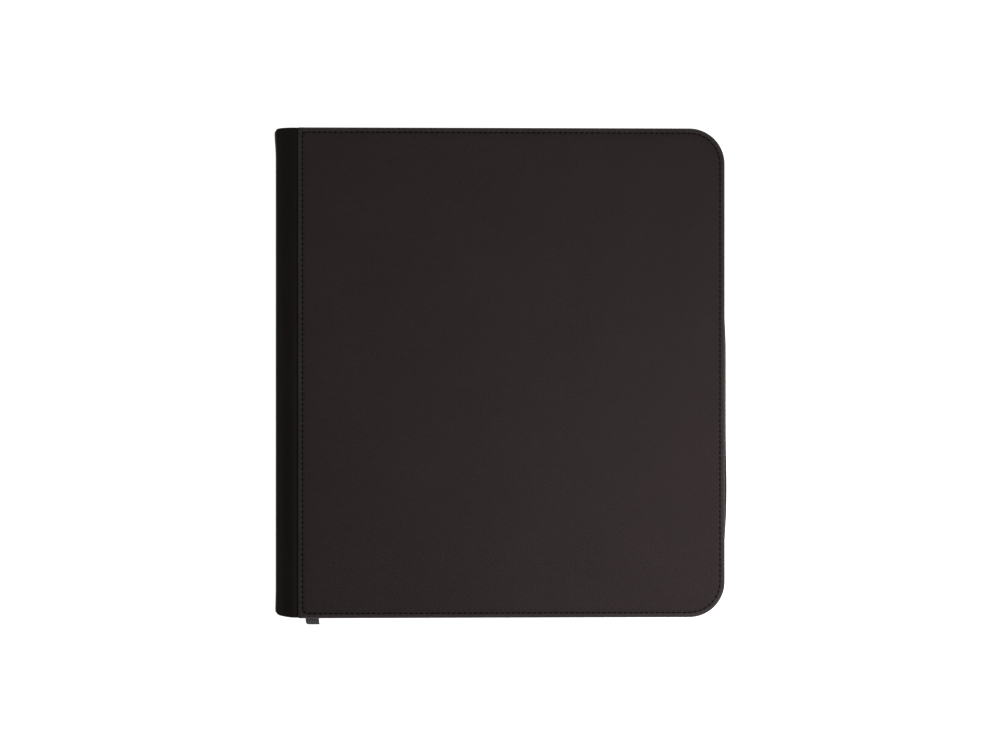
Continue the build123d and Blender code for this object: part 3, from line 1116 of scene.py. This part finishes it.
def lining_cloth():
    """Plain weave of two thread directions."""
    light = (0.024, 0.023, 0.023)
    s = Shader("lining_cloth", light, 0.85, Sheen_Weight=0.25, Sheen_Roughness=0.5)
    over = s.zero_to_one(s.math("MULTIPLY", s.wave(s.axis("X"), 0.7), s.wave(s.axis("Y"), 0.7)))
    fuzz = s.noise(1800, 3)
    tone = s.math("MULTIPLY_ADD", over, 0.6, s.math("MULTIPLY", fuzz, 0.4))
    s.color(s.mix(tone, (0.007, 0.0068, 0.0068), light))
    s.roughness(s.spread(fuzz, 0.3, 0.7, 0.77, 0.93))
    s.bump((over, 0.10), (fuzz, 0.03))
    return s.material


def tape_weave():
    """Herringbone tape: slanting ribs that turn back every few millimetres."""
    s = Shader("zip_tape", (0.015, 0.015, 0.016), 0.82, Sheen_Weight=0.2, Sheen_Roughness=0.5)
    along = s.math("ADD", s.axis("X"), s.axis("Y"))
    zigzag = s.math("PINGPONG", s.axis("Z"), 2.1 * MM)
    rib = s.zero_to_one(s.wave(s.math("ADD", along, zigzag), 0.9))
    fuzz = s.noise(1500, 3)
    s.color(s.mix(rib, (0.006, 0.006, 0.0065), (0.021, 0.021, 0.022)))
    s.roughness(s.spread(fuzz, 0.3, 0.7, 0.74, 0.9))
    s.bump((rib, 0.12), (fuzz, 0.03))
    return s.material


def nylon():
    """Nylon monofilament."""
    s = Shader("zip_coil", (0.018, 0.018, 0.019), 0.33, Coat_Weight=0.15, Coat_Roughness=0.3)
    worn = s.noise(500, 3)
    s.color(s.mix(worn, (0.011, 0.011, 0.012), (0.030, 0.030, 0.031)))
    s.roughness(s.spread(worn, 0.3, 0.7, 0.27, 0.42))
    s.bump((worn, 0.02))
    return s.material


def zip_metal():
    """Dark nickel plate, brushed and slightly worn."""
    s = Shader("zip_metal", (0.16, 0.155, 0.15), 0.3, Metallic=1.0)
    brushed = s.noise(900, 4, 0.6, s.stretch((1, 8, 8)))
    worn = s.noise(240, 4, 0.6)
    s.color(s.mix(worn, (0.05, 0.048, 0.046), (0.16, 0.155, 0.15)))
    s.roughness(s.spread(brushed, 0.3, 0.7, 0.22, 0.40))
    s.bump((brushed, 0.01))
    return s.material


def webbing():
    """Grey ribbed webbing of the tail tab."""
    s = Shader("tab_webbing", (0.09, 0.09, 0.09), 0.85, Sheen_Weight=0.3, Sheen_Roughness=0.5)
    yarn = s.zero_to_one(s.wave(s.axis("X"), 1.9))
    rib = s.zero_to_one(s.wave(s.axis("Y"), 0.887))
    both = s.math("MULTIPLY", yarn, rib)
    fuzz = s.noise(1500, 3)
    tone = s.math("MULTIPLY_ADD", both, 0.65, s.math("MULTIPLY", fuzz, 0.35))
    # The ribs' colour, from near black to pale grey, is partly the weave and partly painted
    # highlight and shade on the ribs.
    s.color(s.mix(tone, (0.012, 0.012, 0.013), (0.26, 0.26, 0.262)))
    s.roughness(s.spread(fuzz, 0.3, 0.7, 0.78, 0.92))
    s.bump((both, 0.3), (fuzz, 0.05))
    return s.material


def soft_plastic(name, dark, light, rough):
    """Moulded plastic with a fine spark-eroded grain."""
    s = Shader(name, light, rough)
    grain = s.noise(2200, 2)
    blush = s.noise(60, 3)
    s.color(s.mix(blush, dark, light))
    s.roughness(s.spread(blush, 0.3, 0.7, rough - 0.06, rough + 0.06))
    s.bump((grain, 0.03))
    return s.material


def pocket_page():
    """Clear glossy film over a matt black sheet; the welds between pockets are matt."""
    s = Shader("pocket_page", (0.02, 0.02, 0.021), 0.3, Coat_Roughness=0.08)
    film = s.attribute("film")
    waves = s.noise(26, 2)
    haze = s.noise(300, 3)
    weld = s.math("MULTIPLY", s.wave(s.axis("X"), 0.9), s.wave(s.axis("Y"), 0.9))
    dots = s.zero_to_one(weld)
    matt = s.math("MULTIPLY", s.math("SUBTRACT", 1.0, film), dots)
    s.color(s.mix(film, (0.011, 0.011, 0.012), (0.026, 0.026, 0.028)))
    s.roughness(s.math("ADD", s.spread(film, 0, 1, 0.48, 0.12), s.math("MULTIPLY", haze, 0.08)))
    s.link(film, s.bsdf.inputs["Coat Weight"])
    s.bump((waves, 0.5), (matt, 0.06))
    return s.material


def paint(materials):
    """Every piece, and every CAD node that stays, gets its slot's material."""
    slots = {row["node"]: row["material_slot"] for row in frame["record"]["subparts"]}
    painted = [(node, slots[name]) for name, node in frame["nodes"].items()]
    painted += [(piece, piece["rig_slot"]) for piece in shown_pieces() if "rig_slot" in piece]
    for piece, slot in painted:
        piece.data.materials.clear()
        piece.data.materials.append(materials[slot])


# ---- kept CAD nodes
def soften(names, width_mm):
    """Rounds the hard edges of CAD nodes that stay."""
    for name in names:
        bevel = frame["nodes"][name].modifiers.new("edges", "BEVEL")
        bevel.width = width_mm * MM
        bevel.segments = 3
        bevel.limit_method = "ANGLE"
        bevel.angle_limit = math.radians(35)


# ---- studio
LENS = 300.0
SENSOR = 36.0
FRAME_WIDTH = 746.4
VIEW_CENTRE = (-0.3, -2.0)
FLOOR_HALF = 3000
FLOOR_Z = -0.2
# Height above the horizon, from and to, and the light's strength there.
SKY = (0.05, 0.70, 1.0, 0.06)
LIGHT_SIZE = 0.3
LIGHT_TARGET = Vector((0.0, 0.0, 0.02))
LIGHTS = (
    ("key", (0.34, -0.19, 0.46), 2.5),
    ("fill", (-0.10, 0.42, 0.45), 0.28),
    ("rim", (-0.58, 0.20, 0.10), 0.4),
)


def sky():
    """Soft surroundings, bright at the horizon and dim straight above."""
    world = bpy.data.worlds.new("studio")
    world.use_nodes = True
    nodes = world.node_tree.nodes
    links = world.node_tree.links
    place = nodes.new("ShaderNodeTexCoord").outputs["Generated"]
    split = nodes.new("ShaderNodeSeparateXYZ")
    links.new(place, split.inputs[0])
    fade = nodes.new("ShaderNodeMapRange")
    fade.interpolation_type = "SMOOTHSTEP"
    for key, number in zip(RANGE_INPUTS, SKY):
        fade.inputs[key].default_value = number
    links.new(split.outputs["Z"], fade.inputs["Value"])
    links.new(fade.outputs["Result"], nodes["Background"].inputs["Strength"])
    nodes["Background"].inputs["Color"].default_value = (1, 1, 1, 1)
    bpy.context.scene.world = world


def add_camera():
    """Camera far above the cover, looking straight down."""
    distance = LENS / SENSOR * FRAME_WIDTH * MM
    camera = bpy.data.cameras.new("camera")
    camera.lens = LENS
    camera.sensor_width = SENSOR
    camera.clip_end = 50
    view = bpy.data.objects.new("camera", camera)
    view.location = (VIEW_CENTRE[0] * MM, VIEW_CENTRE[1] * MM, TOP * MM + distance)
    bpy.context.collection.objects.link(view)
    bpy.context.scene.camera = view


def add_floor():
    """White floor that glows slightly, so that it stays even."""
    signs = ((-1, -1), (1, -1), (1, 1), (-1, 1))
    corners = [(x * FLOOR_HALF, y * FLOOR_HALF, FLOOR_Z) for x, y in signs]
    floor = make_object("floor", corners, [(0, 1, 2, 3)])
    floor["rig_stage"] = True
    white = Shader("floor_white", (0.86, 0.86, 0.86), 0.7, Specular_IOR_Level=0.1)
    white.color(white.mix(white.noise(3, 2), (0.85, 0.85, 0.85), (0.88, 0.88, 0.88)))
    white.bsdf.inputs["Emission Color"].default_value = (1, 1, 1, 1)
    white.bsdf.inputs["Emission Strength"].default_value = 0.95
    floor.data.materials.append(white.material)


def add_light(name, place, watts):
    """Square area light that faces the object."""
    lamp = bpy.data.lights.new(name, "AREA")
    lamp.shape = "SQUARE"
    lamp.size = LIGHT_SIZE
    lamp.energy = watts
    holder = bpy.data.objects.new(name, lamp)
    holder.location = place
    holder.visible_camera = False
    towards = LIGHT_TARGET - Vector(place)
    holder.rotation_euler = towards.to_track_quat("-Z", "Y").to_euler()
    bpy.context.collection.objects.link(holder)


def studio():
    """Camera, floor, sky and lights for the photograph's view."""
    add_camera()
    add_floor()
    sky()
    for light in LIGHTS:
        add_light(*light)
    bpy.context.scene.view_settings.view_transform = "Standard"


# ---- build
def all_materials():
    """The material of each slot in the record."""
    grip = soft_plastic("pull_grip", (0.012, 0.012, 0.0125), (0.022, 0.022, 0.023), 0.55)
    binding = soft_plastic("binding_plastic", (0.014, 0.014, 0.0145), (0.026, 0.026, 0.027), 0.45)
    return {
        "textured_cover": textured_cover(),
        "spine_cover": spine_cover(),
        "cover_thread": thread(),
        "foam": foam(),
        "board": board(),
        "lining_cloth": lining_cloth(),
        "zip_tape": tape_weave(),
        "zip_coil": nylon(),
        "zip_metal": zip_metal(),
        "tab_webbing": webbing(),
        "pull_grip": grip,
        "binding_plastic": binding,
        "pocket_page": pocket_page(),
    }


def build():
    """Every piece, the rounded edges of the kept nodes, and the materials."""
    studio()
    for side in ("back", "front"):
        cover_panel(side)
        corner_fold(side, -1)
        corner_fold(side, 1)
        cover_seam(side)
        cover_padding(side)
        cover_lining(side)
        spine_wrap(side)
        crease_lining(side)
        zip_tape(side)
        zip_seam(side)
        zip_coil(side)
    spine_end("spine_turned_end_low", SPINE_LOW[1] + 0.5, 1)
    spine_end("spine_turned_end_high", SPINE_HIGH[1] - 0.5, -1)
    tail_tab()
    pull_grip()
    for name in sorted(frame["nodes"]):
        if name.startswith("page_") and name[5:].isdigit():
            page(int(name[5:]))
    soften(("slider", "pull_frame"), 0.25)
    soften(("back_zip_stop", "front_zip_stop", "zip_end_patch"), 0.2)
    soften(("page_binding_bar", "page_binding_strip", "spine_board"), 0.3)
    paint(all_materials())


build()
